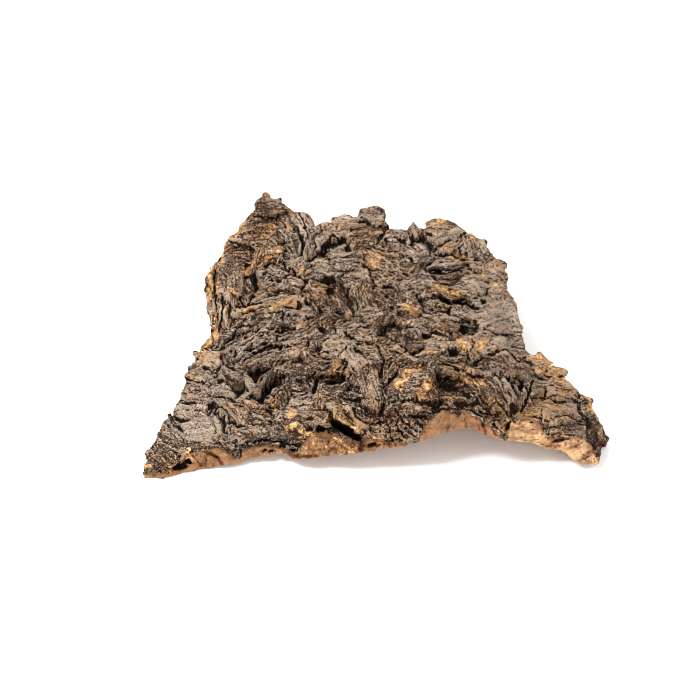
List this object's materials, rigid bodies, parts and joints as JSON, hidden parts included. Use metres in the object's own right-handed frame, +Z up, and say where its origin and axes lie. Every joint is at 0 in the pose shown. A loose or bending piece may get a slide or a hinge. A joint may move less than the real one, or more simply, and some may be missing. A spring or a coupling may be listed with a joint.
{
  "type": "piece of bark",
  "caption": "Curved slab of weathered cork bark with plates and fissures on top and an arched underside, for display, planting or shelter.",
  "frame": {"origin": "on the table, under the middle of the slab's bounding box", "axes": "+Z up, away from the table; +X along the broken front edge, from the long thin left tip to the right wing; +Y from the broken front edge to the back; the weathered outer side of the bark faces +Z"},
  "size_m": [0.2618, 0.2418, 0.0542],
  "materials": {
    "cork": "matt weathered cork, grey-tan with near-black fissures and orange-tan fresh breaks"
  },
  "bodies": {
    "root": {"bark": "cork"}
  },
  "joints": []
}
